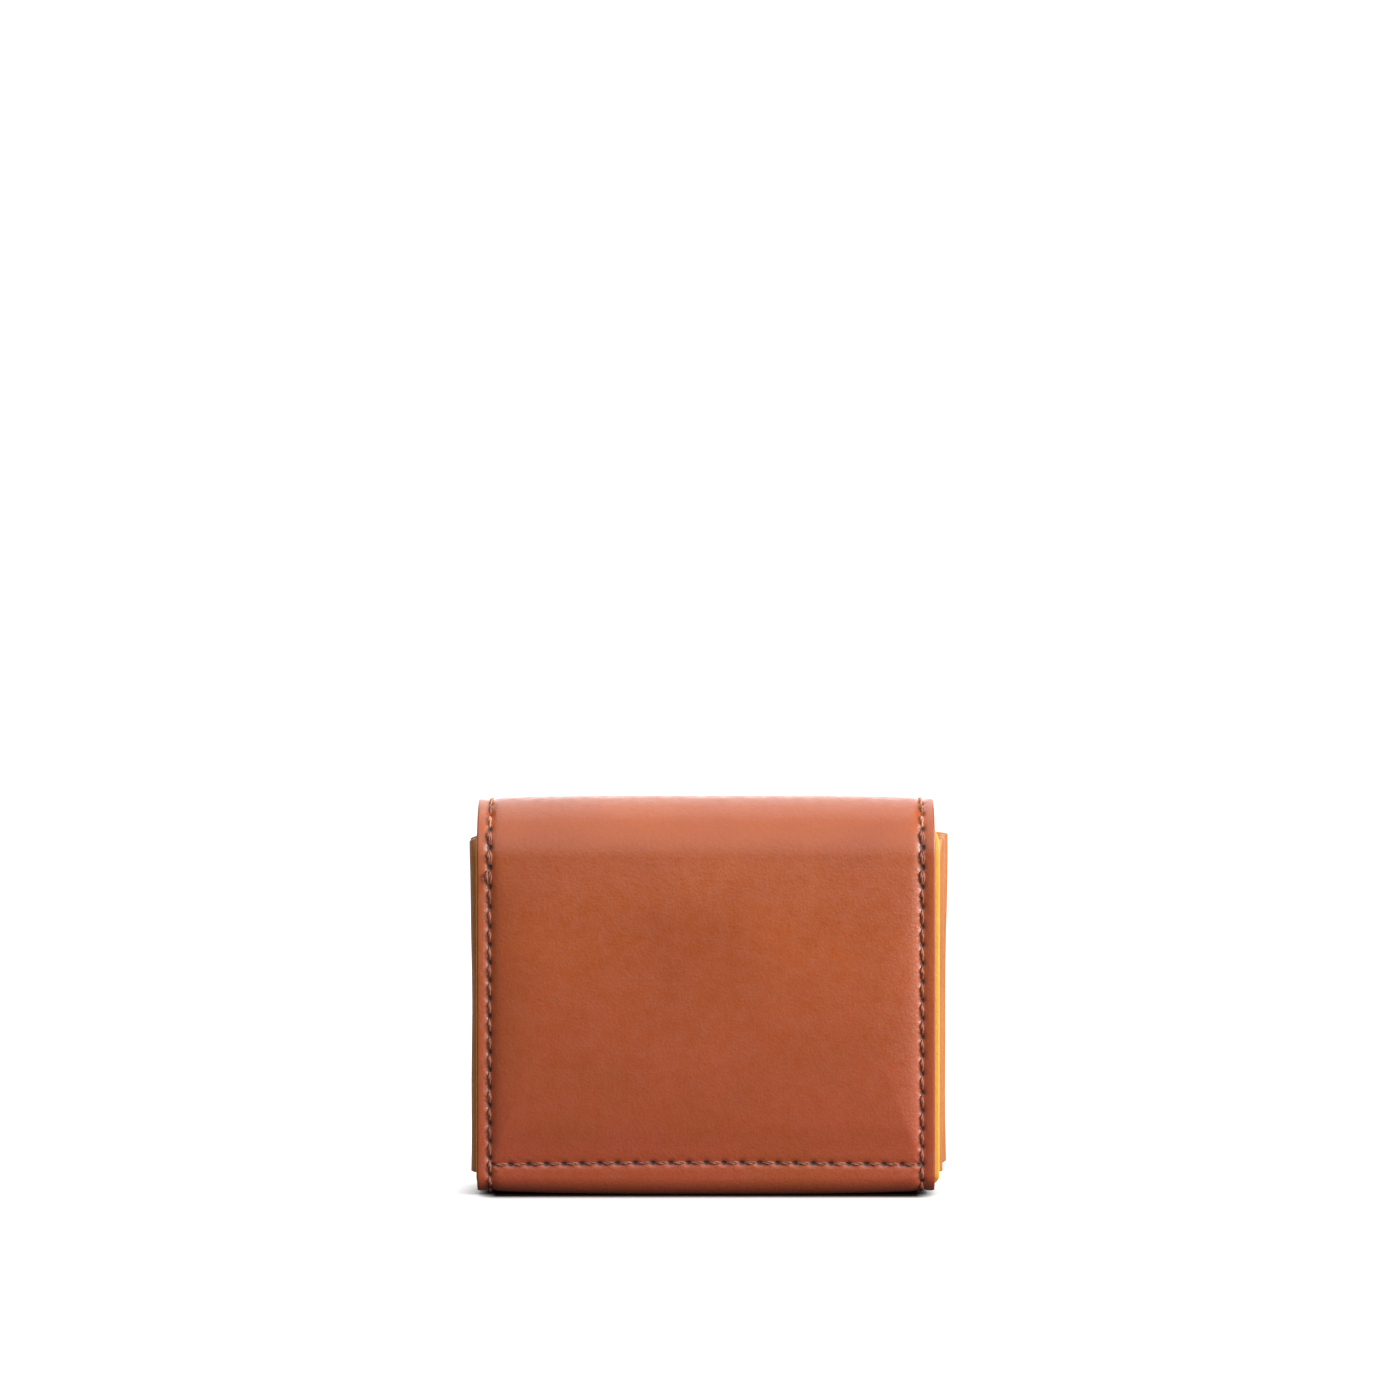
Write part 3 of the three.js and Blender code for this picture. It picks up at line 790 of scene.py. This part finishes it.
def gusset(side):
    """Two pleats of one strip: a loop of points round its section at each height."""
    middle = rounded(gusset_corners[side], 3) * mm
    normal = chain_normals(middle)
    rim = np.array([0, 0.05, 0.15, 0.3, 0.5]) * mm
    count = len(middle)
    rows = [(part, 0.0) for part in span(0, 1, 0.02)[1:-1]]
    heights = [(0, distance) for distance in rim] + rows + [(1, -distance) for distance in rim[::-1]]
    points, flat, edges = [], [], []
    x, y = middle.T
    top = gusset_top(x, y, side)
    low = gusset_low(x, y)
    for part, extra in heights:
        z = low + (top - low) * part + extra
        rim_distance = np.minimum(z - low, top - z)
        thin = gusset_thick / 2 - edge_drop(np.clip(rim_distance, 0, None), 0.3 * mm)
        bow = gusset_bow * np.sin(math.pi * part) * np.clip((x - free_from) / (3 * mm), 0, 1)
        high_up = np.clip((z - 38 * mm) / (36 * mm), 0, 1)
        flare = gusset_flare * (high_up if side > 0 else high_up ** 3)
        flare *= ease((x - free_from) / (2 * mm))
        crinkle = crinkle_high * np.sin(z / crinkle_long + y / (2 * mm))
        crinkle *= ease((x - free_from + 1 * mm) / (2 * mm))
        for sign in (1, -1):
            off_x = x + sign * normal[:, 0] * thin + flare - 0.5 * bow + crinkle
            off_y = under_roll(y, z) + sign * normal[:, 1] * thin
            order = slice(None) if sign > 0 else slice(None, None, -1)
            points.append(np.stack([side * off_x, off_y, z], axis=1)[order])
            length = np.arange(count) * 0.4 * mm
            flat.append(np.stack([length, z, np.full(count, sign * 0.01)], axis=1)[order])
            edges.append(np.clip(1 - rim_distance / (0.6 * mm), 0, 1)[order])
    faces = loop_faces(len(heights), 2 * count)
    if side > 0:
        faces = [face[::-1] for face in faces]
    name = "gusset_left" if side < 0 else "gusset_right"
    obj = smooth_object(name, settle(np.concatenate(points)), faces)
    note(obj, "strip", np.concatenate(flat))
    note(obj, "edge", np.concatenate(edges))
    inside = np.array([index % (2 * count) >= count for index in range(len(heights) * 2 * count)])
    return obj, inside


gussets = {side: gusset(side) for side in (-1, 1)}
for side, (obj, _) in gussets.items():
    widest = max(abs(v.co.x) for v in obj.data.vertices)
    print(obj.name, "reaches, mm:", round(widest / mm, 2))

# %% [markdown]
# ## Pockets and divider
# Inside are flat panels: two card pockets against the back and the divider between the two
# compartments. They use the same sheet maker, folded along a straight line in place of the
# cover's. Each pocket has a shallow creased line below its top edge, as a pocket mouth has.

# %% A flat panel between two heights
def panel_line(face_y, toward, bottom):
    """Puts flat places on an upright plane whose outer face looks along toward (+1 or -1 in Y)."""
    def put(x, s, depth):
        return np.stack([x, face_y - toward * depth, bottom + s], axis=1)
    return put


mouth_line = 1.6 * mm
crease_half = 0.28 * mm


def flat_panel(name, node, toward, grow=0.0, crease=0.25 * mm):
    """A panel where a frame node is; grow widens it, crease is the depth of its mouth's line."""
    low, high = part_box(node)
    thick = high.y - low.y
    face_y = high.y if toward > 0 else low.y
    width_half = high.x + grow
    outline = Outline(width_half, 0, high.z - low.z, start_free=True, end_free=True)
    near_top = outline.end - mouth_line + span(-0.6 * mm, 0.6 * mm, 0.15 * mm)
    rows = outline.rows(np.concatenate([span(0, outline.end, 1.5 * mm), near_top]))
    columns = across_columns(width_half, 2.0 * mm)

    def outer(x, s, edge):
        line = (outline.end - s - mouth_line) / crease_half
        return edge_drop(edge, 0.3 * mm) + crease * np.exp(-line ** 2)

    def inner(x, s, edge):
        return thick - edge_drop(edge, 0.3 * mm)

    put = panel_line(face_y, toward, low.z)
    return leather_sheet(name, outline, rows, columns, outer, inner, put=put, inner_step=2 * mm)[0]


divider_reach = 0.5 * mm
panels = {
    "pocket_panel_tall": flat_panel("pocket_tall", "pocket_panel_tall", 1),
    "pocket_panel_short": flat_panel("pocket_short", "pocket_panel_short", 1),
    "divider_rear": flat_panel("divider_rear_leather", "divider_rear", -1, divider_reach, 0),
    "divider_front": flat_panel("divider_front_leather", "divider_front", 1, divider_reach, 0),
}

# %% The divider's top seam
def divider_stitches():
    low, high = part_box("divider_rear")
    seam_low, seam_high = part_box("seam_divider")
    height = (seam_low.z + seam_high.z) / 2 - low.z
    chain = equal_steps([(seam_low.x, height), (seam_high.x, height)], stitch)
    put = panel_line(low.y, -1, low.z)
    return stitches("stitches_divider", chain, put=put, ground=0.1 * mm)


thread["divider"] = divider_stitches()
thread_nodes["divider"] = ["seam_divider"]

# %% [markdown]
# ## The press stud
# Cap, socket, stud and post are turned parts. A lathe profile with rounded corners, spun in 72
# steps, keeps their rims smooth. The spin could be a Screw modifier; here it is a short function,
# so that the mesh is final and exports as it is.

# %% Turned brass parts
def turned(name, profile, turns=72):
    """Spins a profile of (radius, y) points, in mm, around the stud's axis."""
    angle = np.linspace(0, 2 * math.pi, turns, endpoint=False)
    rings = [np.stack([r * np.cos(angle), np.full(turns, y), snap_z + r * np.sin(angle)], 1)
             for r, y in np.array(profile) * mm]
    return smooth_object(name, np.concatenate(rings), loop_faces(len(profile), turns), corner_angle=40)


def dome(radius, base, rise, steps=8):
    """A shallow dome's profile, from its rim to its crown."""
    turn = np.linspace(0, math.pi / 2, steps + 1)[1:]
    return [(max(radius * math.cos(a), 0.02), base + rise * math.sin(a)) for a in turn]


def placed(face_y, profile):
    """A profile measured from a leather face."""
    return [(radius, face_y / mm + y) for radius, y in profile]


cap = turned("press_stud_cap", placed(flap_y, [
    (1.3, -2.6), (1.3, 0.02), (5.7, 0.0), (5.95, 0.08), (6.0, 0.2), (5.95, 0.32),
    *dome(5.8, 0.36, 0.64)]))
socket = turned("press_stud_socket", placed(front_y, [
    (0.02, 1.6), (2.5, 1.6), (2.5, 0.6), (2.7, 0.45), (3.5, 0.42), (4.9, 0.8), (5.15, 1.05),
    (5.2, 1.3), (5.2, 1.9), (5.0, 1.95), (0.02, 1.95)]))
stud = turned("press_stud_ball", placed(front_y, [
    (0.02, 0.05), (4.4, 0.05), (4.6, 0.12), (4.55, 0.25), (2.2, 0.38), (1.65, 0.5), (1.45, 0.75),
    (1.6, 1.0), (1.8, 1.15), *dome(1.8, 1.15, 0.3, 5)]))
post = turned("press_stud_post", placed(front_y, [
    (0.02, -1.95), (4.1, -1.95), (4.2, -1.85), (4.2, -1.45), (4.1, -1.35), (1.3, -1.35),
    (1.3, -0.02), (0.02, -0.02)]))

# %% [markdown]
# ## Finishes
# Every finish is made of shader nodes and reads the flat place on the strip that each sheet
# stored, so the grain follows the leather round its folds. Smooth vegetable-tanned leather has
# slow mottling from the dye, fine creased grain and darker burnished edges. Shade is painted
# near-black into the stitch holes, and a painted shade makes the panels darker and redder near the
# base.

# %% Small helpers for shader nodes
class Shading:
    """Adds nodes to a node tree. Each input takes another node's socket or plain numbers."""

    def __init__(self, tree):
        self.nodes = tree.nodes
        self.links = tree.links

    def set(self, socket, value):
        if isinstance(value, bpy.types.NodeSocket):
            self.links.new(value, socket)
        else:
            socket.default_value = value

    def add(self, kind, **inputs):
        node = self.nodes.new("ShaderNode" + kind)
        for name, value in inputs.items():
            self.set(node.inputs[name.replace("_", " ")], value)
        return node

    def math(self, operation, first, second=None, kind="Math", out="Value"):
        node = self.add(kind)
        node.operation = operation
        self.set(node.inputs[0], first)
        if second is not None:
            self.set(node.inputs[1], second)
        return node.outputs[out]

    def coordinate(self, name):
        return self.add("TexCoord").outputs[name]

    def seen(self):
        """1 for what the lens sees directly, 0 for reflections and light on other things."""
        return self.add("LightPath").outputs["Is Camera Ray"]

    def read(self, name, out="Fac"):
        """A number or a vector that note() stored on the mesh."""
        node = self.add("Attribute")
        node.attribute_name = name
        return node.outputs[out]

    def part(self, vector, axis):
        return self.add("SeparateXYZ", Vector=vector).outputs[axis]

    def noise(self, vector, scale, detail=3.0, roughness=0.5):
        node = self.add("TexNoise", Vector=vector, Scale=scale, Detail=detail, Roughness=roughness)
        return node.outputs["Fac"]

    def cells(self, vector, scale):
        node = self.add("TexVoronoi")
        node.feature = "SMOOTH_F1"
        self.set(node.inputs["Scale"], scale)
        self.set(node.inputs["Smoothness"], 0.6)
        self.set(node.inputs["Vector"], vector)
        return node.outputs["Distance"]

    def ramp(self, value, low, high, out_low=0.0, out_high=1.0):
        node = self.add("MapRange", Value=value, From_Min=low, From_Max=high,
                        To_Min=out_low, To_Max=out_high)
        return node.outputs["Result"]

    def blend(self, factor, first, second):
        """Mixes two colours."""
        node = self.add("Mix")
        node.data_type = "RGBA"
        self.set(node.inputs["Factor"], factor)
        colours = [socket for socket in node.inputs if socket.type == "RGBA"]
        for socket, colour in zip(colours, (first, second)):
            self.set(socket, (*colour, 1) if isinstance(colour, tuple) else colour)
        return [socket for socket in node.outputs if socket.type == "RGBA"][0]

    def bump(self, height, distance, strength=1.0, normal=None):
        node = self.add("Bump", Height=height, Distance=distance, Strength=strength)
        if normal is not None:
            self.set(node.inputs["Normal"], normal)
        return node.outputs["Normal"]


def new_finish(name, **constants):
    """A material, its node helpers and its shader, with the shader's plain numbers set."""
    material = bpy.data.materials.new(name)
    material.use_nodes = True
    shading = Shading(material.node_tree)
    shader = shading.nodes["Principled BSDF"]
    for key, value in constants.items():
        shader.inputs[key.replace("_", " ")].default_value = value
    return material, shading, shader


# %% Leather
# painted shade: the colour painted into the stitch holes
hole_shade_colour = (0.030, 0.006, 0.003)


def leather(name, colour, dark, rim, lower_shade_tone=None, shade_stitches=False, gloss=0.42, grain=1.0, shine=0.5):
    """A leather finish: near the base a darker, redder tone as painted shade; on the cover, painted
    shade in the holes and grooves, which are dulled.
    """
    material, shading, shader = new_finish(
        name, Specular_IOR_Level=shine, Sheen_Weight=0.01, Sheen_Roughness=0.4)
    strip = shading.read("strip", "Vector")
    clouds = shading.ramp(shading.noise(strip, 38, 4.0, 0.55), 0.3, 0.7)
    # painted shade: the colour turns darker and redder towards the base, where less light falls
    if lower_shade_tone:
        middle = (0, base_middle, 0)
        from_base = shading.math("SUBTRACT", strip, middle, kind="VectorMath", out="Vector")
        distance = shading.math("ABSOLUTE", shading.part(from_base, "Y"))
        colour = shading.blend(shading.ramp(distance, 20 * mm, 65 * mm), lower_shade_tone, colour)
    base = shading.blend(clouds, dark, colour)
    specks = shading.ramp(shading.noise(strip, 900, 2.0, 0.6), 0.42, 0.75, 0.0, 0.22)
    base = shading.blend(specks, base, tuple(c * 0.72 for c in dark))
    base = shading.blend(shading.ramp(shading.read("edge"), 0.35, 1.0, 0.0, 0.85), base, rim)
    rough = shading.ramp(shading.noise(strip, 420, 3.0), 0.3, 0.75, gloss - 0.05, gloss + 0.12)
    # painted shade in the stitch holes and seam grooves, which are also dulled
    if shade_stitches:
        stitch_shade = shading.read("stitch_shade")
        base = shading.blend(shading.ramp(stitch_shade, 0.15, 0.85, 0.0, 0.97), base, hole_shade_colour)
        rough = shading.math("MAXIMUM", rough, shading.ramp(stitch_shade, 0.0, 0.4, 0.0, 0.6))
    shading.set(shader.inputs["Base Color"], base)
    shading.set(shader.inputs["Roughness"], rough)
    fine = shading.bump(shading.cells(strip, 1700), 0.06 * mm * grain, 0.8)
    creases = shading.bump(shading.noise(strip, 1000, 4.0, 0.65), 0.09 * mm * grain, 0.7, fine)
    shading.set(shader.inputs["Normal"], creases)
    return material


# the cover: painted shade darker near the base and in its stitch holes
tan = leather("tan_leather", (0.385, 0.078, 0.013), (0.325, 0.061, 0.011), (0.25, 0.042, 0.010),
              lower_shade_tone=(0.375, 0.062, 0.024), shade_stitches=True, gloss=0.35, grain=0.6, shine=0.72)
tan_thin = leather("gusset_leather", (0.47, 0.165, 0.042), (0.40, 0.13, 0.034), (0.34, 0.10, 0.024),
                   gloss=0.45)
golden = leather("golden_lining", (0.78, 0.39, 0.045), (0.70, 0.34, 0.040), (0.80, 0.40, 0.046),
                 gloss=0.5)

# %% [markdown]
# ## Thread, board and brass
# The thread's two plies already have their shape; the finish adds fine fibres and wax, and a painted
# highlight makes the thread over the roll paler, where the overhead light falls. The boards are
# grey-brown bonded leather with flecks. The brass is polished, with a slow change of tone and slight
# wear.

# %% Thread, board and brass
def thread_finish():
    material, shading, shader = new_finish(
        "thread", Roughness=0.6, Specular_IOR_Level=0.35, Sheen_Weight=0.05, Sheen_Roughness=0.4)
    place_socket = shading.coordinate("Object")
    tone = shading.ramp(shading.noise(place_socket, 700, 3.0), 0.3, 0.7)
    base = shading.blend(tone, (0.14, 0.040, 0.024), (0.36, 0.130, 0.082))
    # painted highlight: the thread over the roll is painted paler, where the overhead light falls
    base = shading.blend(shading.read("roll_highlight"), base, (0.55, 0.25, 0.15))
    fibres = shading.noise(place_socket, 4200, 2.0, 0.7)
    shading.set(shader.inputs["Base Color"], base)
    shading.set(shader.inputs["Normal"], shading.bump(fibres, 0.03 * mm, 0.8))
    return material


def board_finish():
    material, shading, shader = new_finish("backing_board", Roughness=0.9)
    flecks = shading.ramp(shading.noise(shading.coordinate("Object"), 1100, 4.0, 0.7), 0.35, 0.65)
    base = shading.blend(flecks, (0.16, 0.115, 0.07), (0.30, 0.23, 0.15))
    shading.set(shader.inputs["Base Color"], base)
    shading.set(shader.inputs["Normal"], shading.bump(flecks, 0.05 * mm))
    return material


def brass_finish():
    material, shading, shader = new_finish("brass", Metallic=1.0)
    place_socket = shading.coordinate("Object")
    tarnish = shading.ramp(shading.noise(place_socket, 120, 2.0), 0.4, 0.8)
    base = shading.blend(tarnish, (0.83, 0.61, 0.29), (0.74, 0.51, 0.23))
    wear = shading.noise(place_socket, 900, 4.0, 0.65)
    shading.set(shader.inputs["Base Color"], base)
    shading.set(shader.inputs["Roughness"], shading.ramp(wear, 0.3, 0.75, 0.20, 0.30))
    shading.set(shader.inputs["Normal"], shading.bump(wear, 0.002 * mm, 0.3))
    return material


waxed_thread = thread_finish()
board = board_finish()
brass = brass_finish()

# %% [markdown]
# ## Dressing and riding
# Each piece gets its finish. A piece on one body rides on it. The frame's plain node is then left
# out, since the piece stands for it.

# %% The bends of the four lengths
def middle_point(degrees):
    """A point on the middle of the roll's leather."""
    radius = roll_radius - cover_thick / 2
    angle = math.radians(degrees)
    return (0, roll_y + radius * math.cos(angle), roll_z + radius * math.sin(angle))


bends = {
    "front": ("shell", "front", (0, front_y - front_fold, 0), (0, front_y, front_fold)),
    "back": ("shell", "roll_rear", middle_point(180), middle_point(120)),
    "top": ("roll_rear", "roll_front", middle_point(120), middle_point(60)),
    "flap": ("roll_front", "flap", middle_point(60), middle_point(0)),
}


def dress(obj, finish, nodes):
    obj.data.materials.append(finish)
    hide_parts(*nodes)


def bend_piece(obj, part):
    """Bakes the piece's transform into its mesh; its two bodies and bend ends are looked up but not
    used.
    """
    body_a, body_b, start, end = bends[part]
    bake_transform(obj)
    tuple(start)
    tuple(end)


# %% Cover, lining and thread
for part in bends:
    dress(cover[part], tan, ["cover_" + end for end in node_ends[part]])
    bend_piece(cover[part], part)
    dress(lining[part], golden, ["lining_" + end for end in node_ends[part]])
    bend_piece(lining[part], part)

thread_bends = {"back_left": "back", "back_right": "back", "top_left": "top", "top_right": "top",
                "front": "front", "flap": "flap"}
for key, obj in thread.items():
    dress(obj, waxed_thread, thread_nodes[key])
    if key in thread_bends:
        bend_piece(obj, thread_bends[key])
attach(thread["pockets"], "shell")
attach(thread["divider"], "divider")

# %% Gussets, tan outside and golden inside
for side, (obj, inside) in gussets.items():
    word = "left" if side < 0 else "right"
    pleats = [f"gusset_rear_pleat_{word}", f"gusset_front_pleat_{word}"]
    dress(obj, tan_thin, pleats)
    obj.data.materials.append(golden)
    corner = np.zeros(len(obj.data.loops), int)
    obj.data.loops.foreach_get("vertex_index", corner)
    for face in obj.data.polygons:
        marks = inside[corner[face.loop_start:face.loop_start + face.loop_total]]
        face.material_index = 1 if marks.all() else 0
    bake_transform(obj)

# %% Panels, press stud and boards
for node, obj in panels.items():
    if node in ("pocket_panel_tall", "divider_front"):
        dress(obj, golden, [node])
    else:
        dress(obj, tan_thin, [node])
    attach(obj, "divider" if node.startswith("divider") else "shell")

for obj, node, body in ((cap, "snap_cap", "flap"), (socket, "snap_socket", "flap"),
                        (stud, "snap_stud", "front"), (post, "snap_post", "front")):
    dress(obj, brass, [node])
    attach(obj, body)

for node in ("board_back", "board_front", "board_flap"):
    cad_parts[node].data.materials.clear()
    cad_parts[node].data.materials.append(board)

# %% [markdown]
# ## Floor and light
# The holder stands on a white floor in a white studio. A wide softbox overhead makes the pale
# band along the top roll, one at the right gives the panel its colour and draws out the stitches,
# and a wide one in front and a strip fill in. The floor and the surroundings look white to the
# lens but throw back only a part of the light, so that the leather's colour stays deep. Where the
# base meets the floor, a thin dark line is painted into the floor's colour as a contact shadow.

# %% The floor
def gap_to_footprint(shading):
    """Distance on the floor from the patch that the holder stands on."""
    middle = (0, (front_y + rear_y) / 2, 0)
    reach = (half - 5 * mm, (front_y - rear_y) / 2 - 1 * mm, 0)
    vector = shading.coordinate("Object")
    steps = (("SUBTRACT", middle), ("ABSOLUTE", None), ("SUBTRACT", reach), ("MAXIMUM", (0, 0, 0)))
    for operation, by in steps:
        vector = shading.math(operation, vector, by, kind="VectorMath", out="Vector")
    return shading.math("LENGTH", vector, kind="VectorMath")


def studio_floor():
    size = 30.0
    points = np.array([(-size, -size, 0), (size, -size, 0), (size, size, 0), (-size, size, 0)])
    obj = smooth_object("studio_floor", points, [[0, 1, 2, 3]])
    material, shading, shader = new_finish("studio_floor", Roughness=0.9, Specular_IOR_Level=0.0)
    gap = gap_to_footprint(shading)
    seen = shading.seen()
    # painted shadow: the floor's colour turns near-black within a few millimetres of the holder's
    # footprint
    painted_contact_shadow = shading.ramp(gap, 1 * mm, 5 * mm)
    white = shading.blend(painted_contact_shadow, (0.02, 0.012, 0.010), (0.7, 0.7, 0.7))
    shading.set(shader.inputs["Base Color"], shading.blend(seen, (0.12, 0.12, 0.12), white))
    near = shading.ramp(gap, 3 * mm, 13 * mm, 0.0, 0.6)
    far = shading.ramp(gap, 50 * mm, 400 * mm, 0.0, 0.4)
    strength = shading.math("MULTIPLY", shading.math("ADD", near, far), seen)
    both = shading.add("AddShader")
    shading.set(both.inputs[0], shader.outputs["BSDF"])
    shading.set(both.inputs[1], shading.add("Emission", Strength=strength).outputs["Emission"])
    shading.set(shading.nodes["Material Output"].inputs["Surface"], both.outputs["Shader"])
    obj.data.materials.append(material)


# %% The surroundings and the softboxes
def surroundings(front, back):
    """A dim studio in front and a lit white wall behind; the lens sees plain white."""
    world = bpy.data.worlds.new("surroundings")
    world.use_nodes = True
    shading = Shading(world.node_tree)
    wall = shading.ramp(shading.part(shading.coordinate("Generated"), "Y"), 0.5, 0.85, front, back)
    white = shading.ramp(shading.seen(), 0, 1, 0.0, 1.1)
    background = shading.nodes["Background"]
    background.inputs["Color"].default_value = (1, 1, 1, 1)
    shading.set(background.inputs["Strength"], shading.math("MAXIMUM", wall, white))
    bpy.context.scene.world = world


def softbox(name, location, size, radiance, target=(0, 0, 0.045)):
    """A softbox set by how bright its cloth looks, whatever its size."""
    data = bpy.data.lights.new(name, "AREA")
    data.shape = "RECTANGLE"
    data.size, data.size_y = size
    data.energy = 4 * radiance * size[0] * size[1]
    lamp = bpy.data.objects.new(name, data)
    lamp.location = location
    lamp.rotation_euler = (Vector(target) - Vector(location)).to_track_quat("-Z", "Y").to_euler()
    bpy.context.collection.objects.link(lamp)


studio_floor()
surroundings(0.07, 3.0)
softbox("softbox_overhead", (0.0, 0.135, 0.62), (0.45, 0.61), 1.85, target=(0, 0.135, 0))
softbox("softbox_right", (0.62, -0.28, 0.29), (0.35, 0.35), 16.2)
softbox("softbox_front", (-0.03, -0.29, 0.30), (0.7, 0.40), 1.05)
softbox("softbox_strip", (0.55, -0.95, 0.25), (0.15, 0.6), 5.0)
bpy.context.scene.view_settings.view_transform = "Standard"
